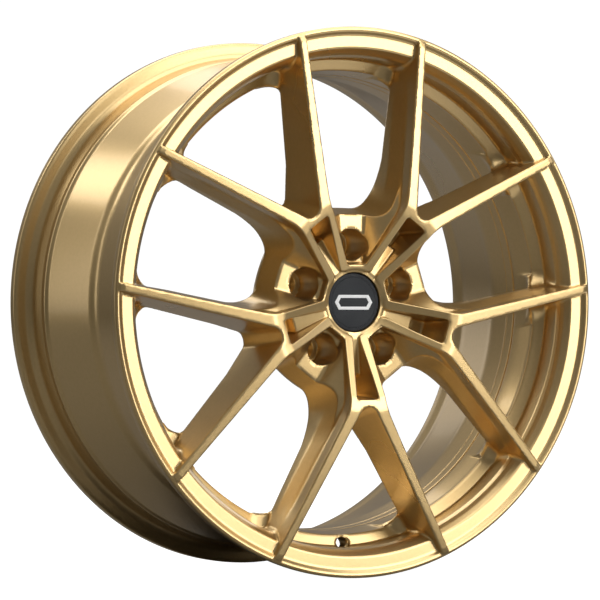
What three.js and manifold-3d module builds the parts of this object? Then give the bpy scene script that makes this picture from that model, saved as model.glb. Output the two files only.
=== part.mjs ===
// Five-arm forged wheel, 20 x 8.5J, with its snap-in centre cap and hub-centring ring.
// Millimetres, wheel axis along Y, face towards -Y, +Z up, origin in the middle of the wheel's box.
// Depths are measured back from the front edge of the front flange; toY() turns one into a Y value.
import * as THREE from 'three';
import { mergeVertices } from 'three/addons/utils/BufferGeometryUtils.js';
import Module from 'manifold-3d';

// ---- driving dimensions -------------------------------------------------------------------
const RIM_DIAMETER = 508;          // across the bead seats, 20 in
const RIM_WIDTH = 215.9;           // between the flanges, 8.5 in
const FLANGE_HEIGHT = 17.3;        // flange above its bead seat
const FLANGE_THICK = 10.75;        // each flange, measured along the axle
const WALL = 5.5;                  // barrel wall at the well
const WELL_DROP = 20;              // bead seat down to the well floor
const WELL_LENGTH = 50;            // flat part of the well behind the lip piece
const FLANGE_EDGE = 3;             // rounding of a flange's outer edge
const SEAT_CURVE = 8;              // flange face back to where its bead seat begins
const HUMP = 1.1;                  // safety hump, above the groove beside it
const CONE_DROP = 3.5;             // rear bead seat down to the end of the barrel's cone
const REAR_LENGTH = 41.5;          // length of the rear flange piece
const LIP_EDGE = 8.5;              // front flange's rounded edge, outside the flat ring
const LIP_RING_WIDTH = 11.8;       // flat ring inside the front flange
const LIP_RING_DEPTH = 3.8;
const LIP_SLOPE = 9.2;             // sloped inner side of the lip, down to the step
const SHELF_DEPTH = 37.5;          // depth of the step behind the lip, at its outer edge
const SHELF_RISE = 4.5;            // how much deeper the step's inner edge lies
const LIP_TAIL = 20;               // the lip piece reaches this far behind the step
const ARM_COUNT = 5;
const FACE_PROUD = 14;             // elbows of the arms, ahead of the front flange
const SPOKE_END_PROUD = 2.7;       // spoke face at the lip, ahead of the front flange
const ELBOW_AXIAL = 105;           // elbow, along its arm
const ELBOW_HALF = 21.5;           // elbow, to each side of its arm
const ARM_ROOT_HALF = 14;          // half width of an arm at the hub ring
const SPOKE_ANGLE = 29.5;          // each spoke off its arm, degrees
const SPOKE_ROOT_WIDTH = 11.6;
const SPOKE_END_WIDTH = 8.2;
const SIDE_DRAFT = 5;              // how far a side wall spreads from face to back
const SPOKE_BACK_DEPTH = 48;
const NOTCH_RADIUS = 10.7;         // fillet between the two spokes of an arm
const CROSSBAR = 6.5;              // bar between an arm's pocket and the notch
const POCKET_ROOT_HALF = 3.8;
const POCKET_END_HALF = 12.5;
const POCKET_FLOOR_DEPTH = 14;
const HUB_OFFSET = 42.7;           // mounting face ahead of the middle of the rim
const HUB_PAD_DEPTH = 21;          // flat pads around the lug holes
const HUB_PAD_RADIUS = 86.3;
const HUB_BACK_RADIUS = 95;
const HUB_BACK_DEPTH = 50;
const HUB_FACE_RADIUS = 77;
const HUB_RING_WALL = 7.5;         // ring of material around the cap
const HUB_RING_DEPTH = 12.2;
const HUB_BORE = 73.1;             // centre bore, diameter
const HUB_BORE_LENGTH = 32;
const BOLT_CIRCLE = 114.3;
const LUG_POCKET = 31.2;           // diameter
const LUG_POCKET_DEPTH = 36;
const LUG_SEAT = 21;               // cone seat, diameter at its mouth
const LUG_HOLE = 14.6;             // diameter
const BACK_POCKET = 26;            // lightening pockets in the mounting face, diameter
const BACK_POCKET_DEPTH = 20;
const BACK_POCKET_RADIUS = 60;
const VALVE_HOLE = 11.4;           // diameter
const VALVE_COUNTERBORE = 18.5;    // diameter
const VALVE_INSET = 1.3;           // hole's axis, inside the step's outer edge
const CAP_DIAMETER = 58.4;
const CAP_FACE_DEPTH = 17.3;
const CAP_PLATE = 2.6;             // thickness of the cap's round plate
const CAP_LEDGE = 2.2;             // ledge in the hub that the cap's plate sits on
const CAP_SOCKET_LENGTH = 12;
const CAP_LEG_COUNT = 8;
const CAP_LEG_LENGTH = 14.5;
const CAP_LEG_THICK = 1.8;
const CAP_LEG_WIDTH = 9;
const CAP_BARB = 1.2;
const CAP_WIRE = 1.6;              // spring wire, diameter
const CAP_BORDER = 4.2;            // cap plate left around the emblem
const EMBLEM_THICK = 1.2;
const MARK_LENGTH = 43;            // plain elongated hexagon on the emblem
const MARK_HEIGHT = 14.6;
const MARK_LINE = 3;
const MARK_THICK = 0.5;
const SPIGOT_BORE = 66.6;          // hub-centring ring, inside diameter
const SPIGOT_LENGTH = 11;
const SPIGOT_EDGE = 0.8;           // chamfer that leads it into the bore
const GAP = 0.3;                   // left between neighbours that meet
const ROUND = 60;                  // facets around the rim
const HUB_ROUND = 40;              // facets around the hub
const SMALL_ROUND = 32;            // facets around the cap and the rings
const HOLE_ROUND = 20;             // facets around a hole

// ---- sizes that follow --------------------------------------------------------------------
const BEAD = RIM_DIAMETER / 2;
const FLANGE = BEAD + FLANGE_HEIGHT;
const BACK_DEPTH = RIM_WIDTH + 2 * FLANGE_THICK;
const MIDDLE_DEPTH = (BACK_DEPTH - FACE_PROUD) / 2;
const WELL = BEAD - WELL_DROP;
const INSIDE = WELL - WALL;
const LIP_RING_OUTER = FLANGE - LIP_EDGE;
const LIP_RING_INNER = LIP_RING_OUTER - LIP_RING_WIDTH;
const SHELF_OUTER = LIP_RING_INNER - LIP_SLOPE;
const SHELF_BACK = SHELF_DEPTH + SHELF_RISE;
const LIP_END = SHELF_BACK + LIP_TAIL;       // where the lip piece meets the barrel
const SEAT_END = BACK_DEPTH - REAR_LENGTH;   // where the barrel meets the rear flange piece
const MOUNT_DEPTH = BACK_DEPTH / 2 - HUB_OFFSET;
const LUG_RADIUS = BOLT_CIRCLE / 2;
const SECTOR = 360 / ARM_COUNT;
const VALVE_RADIUS = SHELF_OUTER - VALVE_INSET;
const CAP_RECESS = CAP_DIAMETER / 2 + GAP;
const HUB_RING_RADIUS = CAP_RECESS + HUB_RING_WALL;
const CAP_SOCKET = CAP_DIAMETER - 2 * CAP_LEDGE;
const EMBLEM_DIAMETER = CAP_DIAMETER - 2 * CAP_BORDER;
const toY = (depth) => depth - MIDDLE_DEPTH;
const radians = THREE.MathUtils.degToRad;

// ---- solids -------------------------------------------------------------------------------
const wasm = await Module();
wasm.setup();

function solidOf(geometry) {
  const bare = geometry.clone();
  bare.deleteAttribute('normal');
  bare.deleteAttribute('uv');
  const merged = mergeVertices(bare, 1e-4);
  const index = Array.from(merged.index.array);
  const kept = [];
  for (let i = 0; i < index.length; i += 3) {
    const [a, b, c] = index.slice(i, i + 3);
    if (a !== b && b !== c && c !== a) kept.push(a, b, c);
  }
  const mesh = new wasm.Mesh({
    numProp: 3,
    vertProperties: new Float32Array(merged.attributes.position.array),
    triVerts: new Uint32Array(kept),
  });
  return new wasm.Manifold(mesh);
}

function geometryOf(solid) {
  const mesh = solid.getMesh();
  const geometry = new THREE.BufferGeometry();
  geometry.setAttribute('position', new THREE.BufferAttribute(new Float32Array(mesh.vertProperties), 3));
  geometry.setIndex(Array.from(mesh.triVerts));
  geometry.computeVertexNormals();
  return geometry;
}

// A closed outline of [radius, depth] points, listed front edge outwards, then back and home.
function turned(outline, facets = ROUND) {
  const points = [...outline, outline[0]].map(([r, depth]) => new THREE.Vector2(r, toY(depth)));
  return new THREE.LatheGeometry(points, facets);
}

// A block between a front outline and a back outline of equally many [x, z, depth] points.
function block(front, back) {
  const count = front.length;
  const corners = [...front, ...back].flatMap(([x, z, depth]) => [x, toY(depth), z]);
  const caps = THREE.ShapeUtils.triangulateShape(front.map(([x, z]) => new THREE.Vector2(x, z)), []);
  const faces = [];
  for (const [a, b, c] of caps) {
    faces.push(a, b, c);
    faces.push(count + a, count + c, count + b);
  }
  for (let i = 0; i < count; i += 1) {
    const next = (i + 1) % count;
    faces.push(i, count + i, next);
    faces.push(next, count + i, count + next);
  }
  const geometry = new THREE.BufferGeometry();
  geometry.setAttribute('position', new THREE.BufferAttribute(new Float32Array(corners), 3));
  geometry.setIndex(faces);
  return geometry;
}

// A round bar along the axle, tapered if its two diameters differ.
function bar(x, z, frontDiameter, backDiameter, frontDepth, backDepth, facets = HOLE_ROUND) {
  const length = backDepth - frontDepth;
  const geometry = new THREE.CylinderGeometry(backDiameter / 2, frontDiameter / 2, length, facets);
  geometry.translate(x, toY(frontDepth) + length / 2, z);
  return geometry;
}

// Angles run clockwise from the top, seen from the front.
const around = (radius, angle) => [radius * Math.sin(radians(angle)), radius * Math.cos(radians(angle))];

// A point given along and to the side of an arm, turned to where that arm stands.
function onArm(arm, axial, side, depth) {
  const turn = radians(armAngle(arm));
  const x = axial * Math.sin(turn) + side * Math.cos(turn);
  const z = axial * Math.cos(turn) - side * Math.sin(turn);
  return [x, z, depth];
}
const armAngle = (arm) => SECTOR * (arm - 0.5);
const lugAngle = (lug) => SECTOR * (lug - 1);

// Depth of the arms' and spokes' flat faces at a radius.
function faceDepth(radius) {
  const elbow = Math.hypot(ELBOW_AXIAL, ELBOW_HALF);
  const rim = LIP_RING_OUTER;
  if (radius < elbow) {
    const share = (radius - HUB_RING_RADIUS) / (elbow - HUB_RING_RADIUS);
    return HUB_RING_DEPTH - share * (HUB_RING_DEPTH + FACE_PROUD);
  }
  return -FACE_PROUD + (radius - elbow) / (rim - elbow) * (FACE_PROUD - SPOKE_END_PROUD);
}

const paint = { color: 0xc9a25f, roughness: 0.32, metalness: 0.85 };
const darkPlastic = { color: 0x17181a, roughness: 0.38, metalness: 0.0 };
const greyPlastic = { color: 0x5b5f63, roughness: 0.5, metalness: 0.0 };
const wire = { color: 0xb9bcc0, roughness: 0.3, metalness: 1.0 };
const white = { color: 0xf2f2f0, roughness: 0.45, metalness: 0.0 };

const wheel = new THREE.Group();
function addPart(name, solid, finish) {
  const mesh = new THREE.Mesh(geometryOf(solid), new THREE.MeshStandardMaterial(finish));
  mesh.name = name;
  wheel.add(mesh);
}

// ---- rim: front lip, barrel and rear flange -----------------------------------------------
// The lip's inner side steps back to the shelf that the spokes run into.
const lipInside = [
  [FLANGE - 3.1, 0.4],
  [LIP_RING_OUTER, LIP_RING_DEPTH - 0.4],
  [LIP_RING_INNER, LIP_RING_DEPTH],
  [LIP_RING_INNER - 4.6, LIP_RING_DEPTH + 5.6],
  [SHELF_OUTER + 0.8, LIP_RING_DEPTH + 14],
  [SHELF_OUTER, SHELF_DEPTH],
  [INSIDE + 1.4, SHELF_BACK],
  [INSIDE, SHELF_BACK + 5],
];

function outerLip() {
  const seat = FLANGE_THICK + SEAT_CURVE;
  const outline = [
    [FLANGE - 2.4, 0],
    [FLANGE, 1.2],
    [FLANGE, FLANGE_THICK - 2.5],
    [FLANGE - FLANGE_EDGE, FLANGE_THICK],
    [BEAD + 5, FLANGE_THICK + 2],
    [BEAD, seat],
    [BEAD - 1.7, seat + 19],
    [BEAD - 1.7 + HUMP, seat + 22],
    [BEAD - 2, seat + 26],
    [WELL, LIP_END - GAP],
    [INSIDE, LIP_END - GAP],
    ...lipInside.slice().reverse(),
  ];
  const [x, z] = around(VALVE_RADIUS, armAngle(3));
  const hole = bar(x, z, VALVE_HOLE, VALVE_HOLE, 0, LIP_END + 5);
  const counterbore = bar(x, z, VALVE_COUNTERBORE, VALVE_COUNTERBORE, 0, SHELF_DEPTH + 4.5);
  return solidOf(turned(outline)).subtract(solidOf(hole)).subtract(solidOf(counterbore));
}
addPart('outer_lip', outerLip(), paint);

// Well floor, then a long cone that opens towards the rear bead seat.
const CONE_START = LIP_END + WELL_LENGTH;
const CONE_END_RADIUS = BEAD - CONE_DROP;
const CONE_WALL = WALL + 1.5;
const rearInside = CONE_END_RADIUS - CONE_WALL;
const rimBarrel = [
  [WELL, LIP_END],
  [WELL, CONE_START],
  [WELL + 2.2, CONE_START + 13],
  [CONE_END_RADIUS, SEAT_END - 4],
  [CONE_END_RADIUS, SEAT_END - GAP],
  [rearInside, SEAT_END - GAP],
  [WELL + 2.2 - WALL, CONE_START + 13],
  [INSIDE, CONE_START],
  [INSIDE, LIP_END],
];
addPart('rim_barrel', solidOf(turned(rimBarrel)), paint);

const rearFlange = [
  [CONE_END_RADIUS, SEAT_END],
  [BEAD - 1.2, SEAT_END + 1],
  [BEAD - 2, SEAT_END + 4],
  [BEAD, BACK_DEPTH - FLANGE_THICK - SEAT_CURVE],
  [BEAD + 5, BACK_DEPTH - FLANGE_THICK - 2],
  [FLANGE - FLANGE_EDGE, BACK_DEPTH - FLANGE_THICK],
  [FLANGE, BACK_DEPTH - FLANGE_THICK + 2.5],
  [FLANGE, BACK_DEPTH - 1.2],
  [FLANGE - 1, BACK_DEPTH],
  [FLANGE - 6.3, BACK_DEPTH],
  [BEAD + 1, BACK_DEPTH - 8],
  [rearInside + 1, BACK_DEPTH - 14],
  [rearInside, SEAT_END],
];
addPart('rear_flange', solidOf(turned(rearFlange)), paint);

// ---- hub: lug pads, cap socket and centre bore --------------------------------------------
const CAP_SEAT_DEPTH = CAP_FACE_DEPTH + CAP_PLATE + GAP;
const SOCKET_END = CAP_SEAT_DEPTH + CAP_SOCKET_LENGTH;
const BORE_START = MOUNT_DEPTH - HUB_BORE_LENGTH;

function hub() {
  const bore = HUB_BORE / 2;
  const outline = [
    [CAP_RECESS, HUB_RING_DEPTH + 2.6],
    [HUB_RING_RADIUS, HUB_RING_DEPTH],
    [HUB_RING_RADIUS, HUB_PAD_DEPTH],
    [HUB_PAD_RADIUS, HUB_PAD_DEPTH],
    [HUB_BACK_RADIUS, HUB_BACK_DEPTH],
    [HUB_BACK_RADIUS, HUB_BACK_DEPTH + 3],
    [HUB_FACE_RADIUS + 2, HUB_BACK_DEPTH + 8],
    [HUB_FACE_RADIUS, MOUNT_DEPTH],
    [bore + 1.5, MOUNT_DEPTH],
    [bore, MOUNT_DEPTH - 1.5],
    [bore, BORE_START],
    [CAP_RECESS, BORE_START - 3],
    [CAP_RECESS, SOCKET_END],
    [CAP_SOCKET / 2, SOCKET_END],
    [CAP_SOCKET / 2, CAP_SEAT_DEPTH],
    [CAP_RECESS, CAP_SEAT_DEPTH],
  ];
  let solid = solidOf(turned(outline, HUB_ROUND));
  const seatDepth = HUB_PAD_DEPTH + LUG_POCKET_DEPTH;
  const coneLength = (LUG_SEAT - LUG_HOLE) / 2 * Math.tan(radians(60));
  for (let lug = 1; lug <= ARM_COUNT; lug += 1) {
    const [x, z] = around(LUG_RADIUS, lugAngle(lug));
    const pocket = bar(x, z, LUG_POCKET, LUG_POCKET, 0, seatDepth);
    const cone = bar(x, z, LUG_SEAT, LUG_HOLE, seatDepth, seatDepth + coneLength);
    const hole = bar(x, z, LUG_HOLE, LUG_HOLE, seatDepth, MOUNT_DEPTH + 5);
    solid = solid.subtract(solidOf(pocket)).subtract(solidOf(cone)).subtract(solidOf(hole));
    const [backX, backZ] = around(BACK_POCKET_RADIUS, armAngle(lug));
    const backStart = MOUNT_DEPTH - BACK_POCKET_DEPTH;
    const backPocket = bar(backX, backZ, BACK_POCKET - 3, BACK_POCKET, backStart, MOUNT_DEPTH + 0.01);
    solid = solid.subtract(solidOf(backPocket));
  }
  return solid;
}
addPart('hub', hub(), paint);

// ---- arms and spokes ----------------------------------------------------------------------
// Room that the hub takes, and room inside the lip, each with the gap that an arm or spoke keeps.
const hubRoom = solidOf(turned([
  [0, -2 * FACE_PROUD],
  [HUB_RING_RADIUS + GAP, -2 * FACE_PROUD],
  [HUB_RING_RADIUS + GAP, HUB_PAD_DEPTH - GAP],
  [HUB_PAD_RADIUS + GAP, HUB_PAD_DEPTH - GAP],
  [HUB_BACK_RADIUS + GAP, HUB_BACK_DEPTH - GAP],
  [HUB_BACK_RADIUS + GAP, HUB_BACK_DEPTH + 20],
  [0, HUB_BACK_DEPTH + 20],
], HUB_ROUND));
const lipRoom = solidOf(turned([
  [HUB_RING_RADIUS, -2 * FACE_PROUD],
  [FLANGE - 3.1 - GAP, -2 * FACE_PROUD],
  ...lipInside.map(([r, depth]) => [r - GAP, depth - GAP]),
  [INSIDE - GAP, LIP_END],
  [HUB_RING_RADIUS, LIP_END],
]));

const along = [Math.cos(radians(SPOKE_ANGLE)), Math.sin(radians(SPOKE_ANGLE))];
const across = [-along[1], along[0]];
// A point of a spoke: run is measured along it from its root, off is measured outwards
// from its outer edge line, and hand is 1 or -1 for the two spokes of an arm.
function onSpoke(arm, hand, run, off, depth) {
  const axial = ELBOW_AXIAL + run * along[0] + off * across[0];
  const side = ELBOW_HALF + run * along[1] + off * across[1];
  const radius = Math.hypot(axial, side);
  return onArm(arm, axial, hand * side, depth === undefined ? faceDepth(radius) : depth);
}

const LUG_CLEAR = LUG_POCKET / 2 + 1;
const lugRooms = [];
for (let lug = 1; lug <= ARM_COUNT; lug += 1) {
  const [x, z] = around(LUG_RADIUS, lugAngle(lug));
  lugRooms.push(solidOf(bar(x, z, 2 * LUG_CLEAR, 2 * LUG_CLEAR, -FACE_PROUD, HUB_BACK_DEPTH)));
}

function armBlock(arm) {
  const notchCentre = notchAxial() + NOTCH_RADIUS;
  const tangent = [notchCentre - NOTCH_RADIUS * along[1], NOTCH_RADIUS * along[0]];
  const rootInner = [ELBOW_AXIAL - SPOKE_ROOT_WIDTH * across[0], ELBOW_HALF - SPOKE_ROOT_WIDTH * across[1]];
  const half = [
    [HUB_RING_RADIUS - 2, ARM_ROOT_HALF, 0, 1],
    [ELBOW_AXIAL, ELBOW_HALF, across[0], across[1]],
    [rootInner[0], rootInner[1], -across[0], -across[1]],
    [tangent[0], tangent[1], -across[0], -across[1]],
    [notchCentre - NOTCH_RADIUS, 0, 1, 0],
  ];
  const mirrored = half.slice(0, -1).reverse().map(([a, s, da, ds]) => [a, -s, da, -ds]);
  const outline = [...half, ...mirrored];
  const front = outline.map(([a, s]) => onArm(arm, a, s, faceDepth(Math.hypot(a, s))));
  const back = outline.map(([a, s, da, ds]) => (
    onArm(arm, a + da * SIDE_DRAFT, s + ds * SIDE_DRAFT, SPOKE_BACK_DEPTH)));
  return solidOf(block(front, back));
}

function notchAxial() {
  const apex = ELBOW_AXIAL - SPOKE_ROOT_WIDTH * across[0]
    - (ELBOW_HALF - SPOKE_ROOT_WIDTH * across[1]) / Math.tan(radians(SPOKE_ANGLE));
  return apex + NOTCH_RADIUS / Math.sin(radians(SPOKE_ANGLE)) - NOTCH_RADIUS;
}

function armPocket(arm) {
  const end = notchAxial() - CROSSBAR;
  const root = HUB_RING_RADIUS - 2;
  const outline = [
    [root, -POCKET_ROOT_HALF, 1],
    [root, POCKET_ROOT_HALF, 1],
    [end, POCKET_END_HALF, -1],
    [end, -POCKET_END_HALF, -1],
  ];
  const front = outline.map(([a, s]) => onArm(arm, a, s, -2 * FACE_PROUD));
  const back = outline.map(([a, s, inward]) => onArm(arm, a + 3 * inward, s * 0.8, POCKET_FLOOR_DEPTH));
  return solidOf(block(front, back));
}

for (let arm = 1; arm <= ARM_COUNT; arm += 1) {
  let solid = armBlock(arm).subtract(hubRoom).subtract(armPocket(arm));
  for (const room of lugRooms) solid = solid.subtract(room);
  addPart(`arm_${arm}`, solid, paint);
}

function spoke(arm, hand) {
  const reach = (FLANGE - ELBOW_AXIAL) / along[0];
  const taper = (SPOKE_ROOT_WIDTH - SPOKE_END_WIDTH) / 2;
  const front = [
    onSpoke(arm, hand, GAP, 0),
    onSpoke(arm, hand, reach, -taper),
    onSpoke(arm, hand, reach, -taper - SPOKE_END_WIDTH),
    onSpoke(arm, hand, GAP, -SPOKE_ROOT_WIDTH),
  ];
  const back = [
    onSpoke(arm, hand, GAP, SIDE_DRAFT, SPOKE_BACK_DEPTH),
    onSpoke(arm, hand, reach, SIDE_DRAFT - taper, SPOKE_BACK_DEPTH),
    onSpoke(arm, hand, reach, -SIDE_DRAFT - taper - SPOKE_END_WIDTH, SPOKE_BACK_DEPTH),
    onSpoke(arm, hand, GAP, -SIDE_DRAFT - SPOKE_ROOT_WIDTH, SPOKE_BACK_DEPTH),
  ];
  const order = (outline) => (hand > 0 ? outline : outline.slice().reverse());
  return solidOf(block(order(front), order(back))).intersect(lipRoom);
}
for (let arm = 1; arm <= ARM_COUNT; arm += 1) {
  addPart(`spoke_${arm}_left`, spoke(arm, -1), paint);
  addPart(`spoke_${arm}_right`, spoke(arm, 1), paint);
}

// ---- centre cap ---------------------------------------------------------------------------
const LEG_OUTER = CAP_SOCKET / 2 - GAP - CAP_BARB;
const LEG_INNER = LEG_OUTER - CAP_LEG_THICK;
const PLATE_BACK = CAP_FACE_DEPTH + CAP_PLATE;
const WIRE_DEPTH = PLATE_BACK + CAP_LEG_LENGTH * 0.55;

function capBody() {
  const plate = [
    [0, CAP_FACE_DEPTH + EMBLEM_THICK + GAP],
    [EMBLEM_DIAMETER / 2 + GAP, CAP_FACE_DEPTH + EMBLEM_THICK + GAP],
    [EMBLEM_DIAMETER / 2 + GAP, CAP_FACE_DEPTH],
    [CAP_DIAMETER / 2 - 1, CAP_FACE_DEPTH],
    [CAP_DIAMETER / 2, CAP_FACE_DEPTH + 1],
    [CAP_DIAMETER / 2, PLATE_BACK],
    [0, PLATE_BACK],
  ];
  const skirt = [
    [LEG_INNER, PLATE_BACK - 0.5],
    [LEG_OUTER, PLATE_BACK - 0.5],
    [LEG_OUTER, PLATE_BACK + 3],
    [LEG_INNER, PLATE_BACK + 3],
  ];
  const legs = [
    [LEG_INNER, PLATE_BACK + 2.5],
    [LEG_OUTER, PLATE_BACK + 2.5],
    [LEG_OUTER, PLATE_BACK + CAP_LEG_LENGTH - 4],
    [LEG_OUTER + CAP_BARB, PLATE_BACK + CAP_LEG_LENGTH - 2.5],
    [LEG_OUTER, PLATE_BACK + CAP_LEG_LENGTH],
    [LEG_INNER, PLATE_BACK + CAP_LEG_LENGTH],
  ];
  let legRing = solidOf(turned(legs, SMALL_ROUND));
  const slots = [];
  for (let leg = 0; leg < CAP_LEG_COUNT; leg += 1) {
    const slotWidth = 2 * Math.PI * LEG_OUTER / CAP_LEG_COUNT - CAP_LEG_WIDTH;
    const slot = new THREE.BoxGeometry(slotWidth, CAP_LEG_LENGTH + 10, 10);
    slot.translate(0, toY(PLATE_BACK + 3) + (CAP_LEG_LENGTH + 10) / 2, LEG_OUTER);
    slot.rotateY(2 * Math.PI * leg / CAP_LEG_COUNT);
    slots.push(solidOf(slot));
  }
  for (const slot of slots) legRing = legRing.subtract(slot);
  const wireSeat = solidOf(wireRing(CAP_WIRE + 2 * GAP));
  return solidOf(turned(plate, SMALL_ROUND))
    .add(solidOf(turned(skirt, SMALL_ROUND)))
    .add(legRing)
    .subtract(wireSeat);
}

// The wire lies inside the legs, sunk a little into them, and pushes them outwards.
function wireRing(diameter) {
  const ring = new THREE.TorusGeometry(LEG_INNER - CAP_WIRE / 4, diameter / 2, 6, SMALL_ROUND);
  ring.rotateX(Math.PI / 2);
  ring.translate(0, toY(WIRE_DEPTH), 0);
  return ring;
}
addPart('cap_body', capBody(), darkPlastic);
addPart('cap_spring_ring', solidOf(wireRing(CAP_WIRE)), wire);

const markLength = MARK_LENGTH / 2;
const markHeight = MARK_HEIGHT / 2;
function hexagon(inset, frontDepth, backDepth) {
  const long = markLength - inset * 1.4;
  const high = markHeight - inset;
  const shoulder = long - high * 0.6;
  const outline = [
    [-long, 0], [-shoulder, high], [shoulder, high],
    [long, 0], [shoulder, -high], [-shoulder, -high],
  ];
  const front = outline.map(([x, z]) => [x, z, frontDepth]).reverse();
  const back = outline.map(([x, z]) => [x, z, backDepth]).reverse();
  return solidOf(block(front, back));
}
const emblemBack = CAP_FACE_DEPTH + EMBLEM_THICK;
const emblem = bar(0, 0, EMBLEM_DIAMETER, EMBLEM_DIAMETER, CAP_FACE_DEPTH, emblemBack, SMALL_ROUND);
const markFace = CAP_FACE_DEPTH - MARK_THICK;
const markHollow = hexagon(MARK_LINE, markFace - 1, CAP_FACE_DEPTH + 1);
const mark = hexagon(0, markFace, CAP_FACE_DEPTH).subtract(markHollow);
addPart('cap_emblem', solidOf(emblem), darkPlastic);
addPart('cap_mark', mark, white);

// ---- hub-centring ring --------------------------------------------------------------------
const spigotOuter = HUB_BORE / 2 - GAP;
const spigot = [
  [SPIGOT_BORE / 2, MOUNT_DEPTH - SPIGOT_LENGTH],
  [spigotOuter - SPIGOT_EDGE, MOUNT_DEPTH - SPIGOT_LENGTH],
  [spigotOuter, MOUNT_DEPTH - SPIGOT_LENGTH + SPIGOT_EDGE],
  [spigotOuter, MOUNT_DEPTH - 0.2],
  [SPIGOT_BORE / 2 + 1, MOUNT_DEPTH - 0.2],
  [SPIGOT_BORE / 2, MOUNT_DEPTH - 1.2],
];
addPart('hub_centring_ring', solidOf(turned(spigot, SMALL_ROUND)), greyPlastic);

export default wheel;
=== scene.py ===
import math
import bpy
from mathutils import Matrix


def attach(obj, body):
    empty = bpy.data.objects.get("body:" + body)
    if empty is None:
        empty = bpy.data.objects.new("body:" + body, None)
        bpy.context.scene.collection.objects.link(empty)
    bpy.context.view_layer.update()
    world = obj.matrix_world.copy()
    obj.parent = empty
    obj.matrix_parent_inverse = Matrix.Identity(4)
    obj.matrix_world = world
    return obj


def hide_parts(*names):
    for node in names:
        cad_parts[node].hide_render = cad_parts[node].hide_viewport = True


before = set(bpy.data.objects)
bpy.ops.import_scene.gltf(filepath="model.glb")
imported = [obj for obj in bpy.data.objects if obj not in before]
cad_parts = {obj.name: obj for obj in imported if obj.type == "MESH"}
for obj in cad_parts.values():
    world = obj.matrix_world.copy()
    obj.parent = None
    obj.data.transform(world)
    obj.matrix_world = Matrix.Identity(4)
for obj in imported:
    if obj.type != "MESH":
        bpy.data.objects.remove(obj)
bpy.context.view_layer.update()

from types import SimpleNamespace

import bmesh
import bpy
import numpy as np
from mathutils import Vector

# ---- Wheel face: lip, spokes, arms and hub -------------------------------------------------
# One aluminium forging with its windows, pockets and lug seats milled out, then coated in
# satin gold. It is built as five equal sectors, one for each arm, each cut through two lugs.
# Lengths are in millimetres, and depths are measured back from the front flange's edge.
MM = 0.001
FACE_MIDDLE = 111.7  # the front flange's edge is this far in front of the wheel's middle
ARMS = 5
HALF_SECTOR = math.pi / ARMS


def smooth_min(a, b, reach):
    overlap = np.maximum(reach - np.abs(a - b), 0.0) / reach
    return np.minimum(a, b) - overlap * overlap * reach * 0.25


def smooth_max(a, b, reach):
    return -smooth_min(-a, -b, reach)


def ramp(value, start, end):
    """Rises smoothly from 0 to 1 as a value goes from start to end."""
    share = np.clip((value - start) / (end - start), 0.0, 1.0)
    return share * share * (3 - 2 * share)


def outline_distance(radius, depth, outline):
    """Distance from a closed outline of (radius, depth) corners, negative inside it."""
    corners = np.array(outline, float)
    best = None
    inside = None
    for (r0, d0), (r1, d1) in zip(corners, np.roll(corners, -1, axis=0)):
        er, ed = r1 - r0, d1 - d0
        pr, pd = radius - r0, depth - d0
        share = np.clip((pr * er + pd * ed) / (er * er + ed * ed), 0.0, 1.0)
        gap = (pr - er * share) ** 2 + (pd - ed * share) ** 2
        best = gap if best is None else np.minimum(best, gap)
        crosses = (d0 > depth) != (d1 > depth)
        with np.errstate(divide="ignore", invalid="ignore"):
            cut = crosses & (pr < er * pd / (ed if ed else 1e-9))
        inside = cut if inside is None else inside ^ cut
    return np.sqrt(best) * np.where(inside, -1.0, 1.0)


# The front of hub, arms and spokes, as the depth of its land at each radius.
LAND_RADII = [30, 95, 102, 107, 263, 268.5]
LAND_DEPTHS = [14.2, -11.5, -12.6, -13.3, -2.7, -1.0]
# Outer walls of an arm's two spokes: their place at one radius, and how they splay.
SPOKE_WALL_SIDE = 36.4
SPOKE_WALL_OUT = 132.1
SPOKE_SPLAY = 0.55
SPOKE_SPLAY_COSINE = 0.8762
NOTCH_APEX = 113.4
NOTCH_ANGLE = math.radians(30.2)
NOTCH_ROUND = 10.7


def place_in(radius, angle, depth):
    """Where points are, measured along and across the nearest arm and lug. The angle is from
    an arm's middle line, and all repeats mirrored beyond the lug's middle line."""
    turn = np.abs(angle)
    turn = np.where(turn > HALF_SECTOR, 2 * HALF_SECTOR - turn, turn)
    at = SimpleNamespace(radius=radius, depth=depth)
    at.axial = radius * np.cos(turn)
    at.side = radius * np.sin(turn)
    at.lug_out = radius * np.cos(HALF_SECTOR - turn)
    at.lug_side = radius * np.sin(HALF_SECTOR - turn)
    at.land = np.interp(radius, LAND_RADII, LAND_DEPTHS)
    at.below = depth - at.land
    wall_side = SPOKE_WALL_SIDE + SPOKE_SPLAY * (at.axial - SPOKE_WALL_OUT)
    at.past_outer = (at.side - wall_side) * SPOKE_SPLAY_COSINE
    from_apex = at.axial - NOTCH_APEX - 0.24 * np.maximum(at.below, 0)
    run = from_apex * math.cos(NOTCH_ANGLE) + at.side * math.sin(NOTCH_ANGLE)
    at.off_notch = at.side * math.cos(NOTCH_ANGLE) - from_apex * math.sin(NOTCH_ANGLE)
    at.from_notch = np.where(run > 0, at.off_notch, np.hypot(from_apex, at.side))
    return at


def spoke_outer_wall(at):
    """Steep, then a tilted ledge, then steep again; plain at both ends of the spoke."""
    plain = 0.12 * np.maximum(at.below, 0)
    ledged = np.interp(at.below, [0, 13, 16, 34, 37, 52, 90], [0, 0.2, 0.7, 5.2, 5.5, 6.2, 7.0])
    ledge = ramp(at.radius, 108, 128) * (1 - ramp(at.radius, 200, 236))
    return at.past_outer - (plain + ledge * (ledged - plain))


PAD_DEPTH = 21
LUG_CENTRE = 57.15


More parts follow.
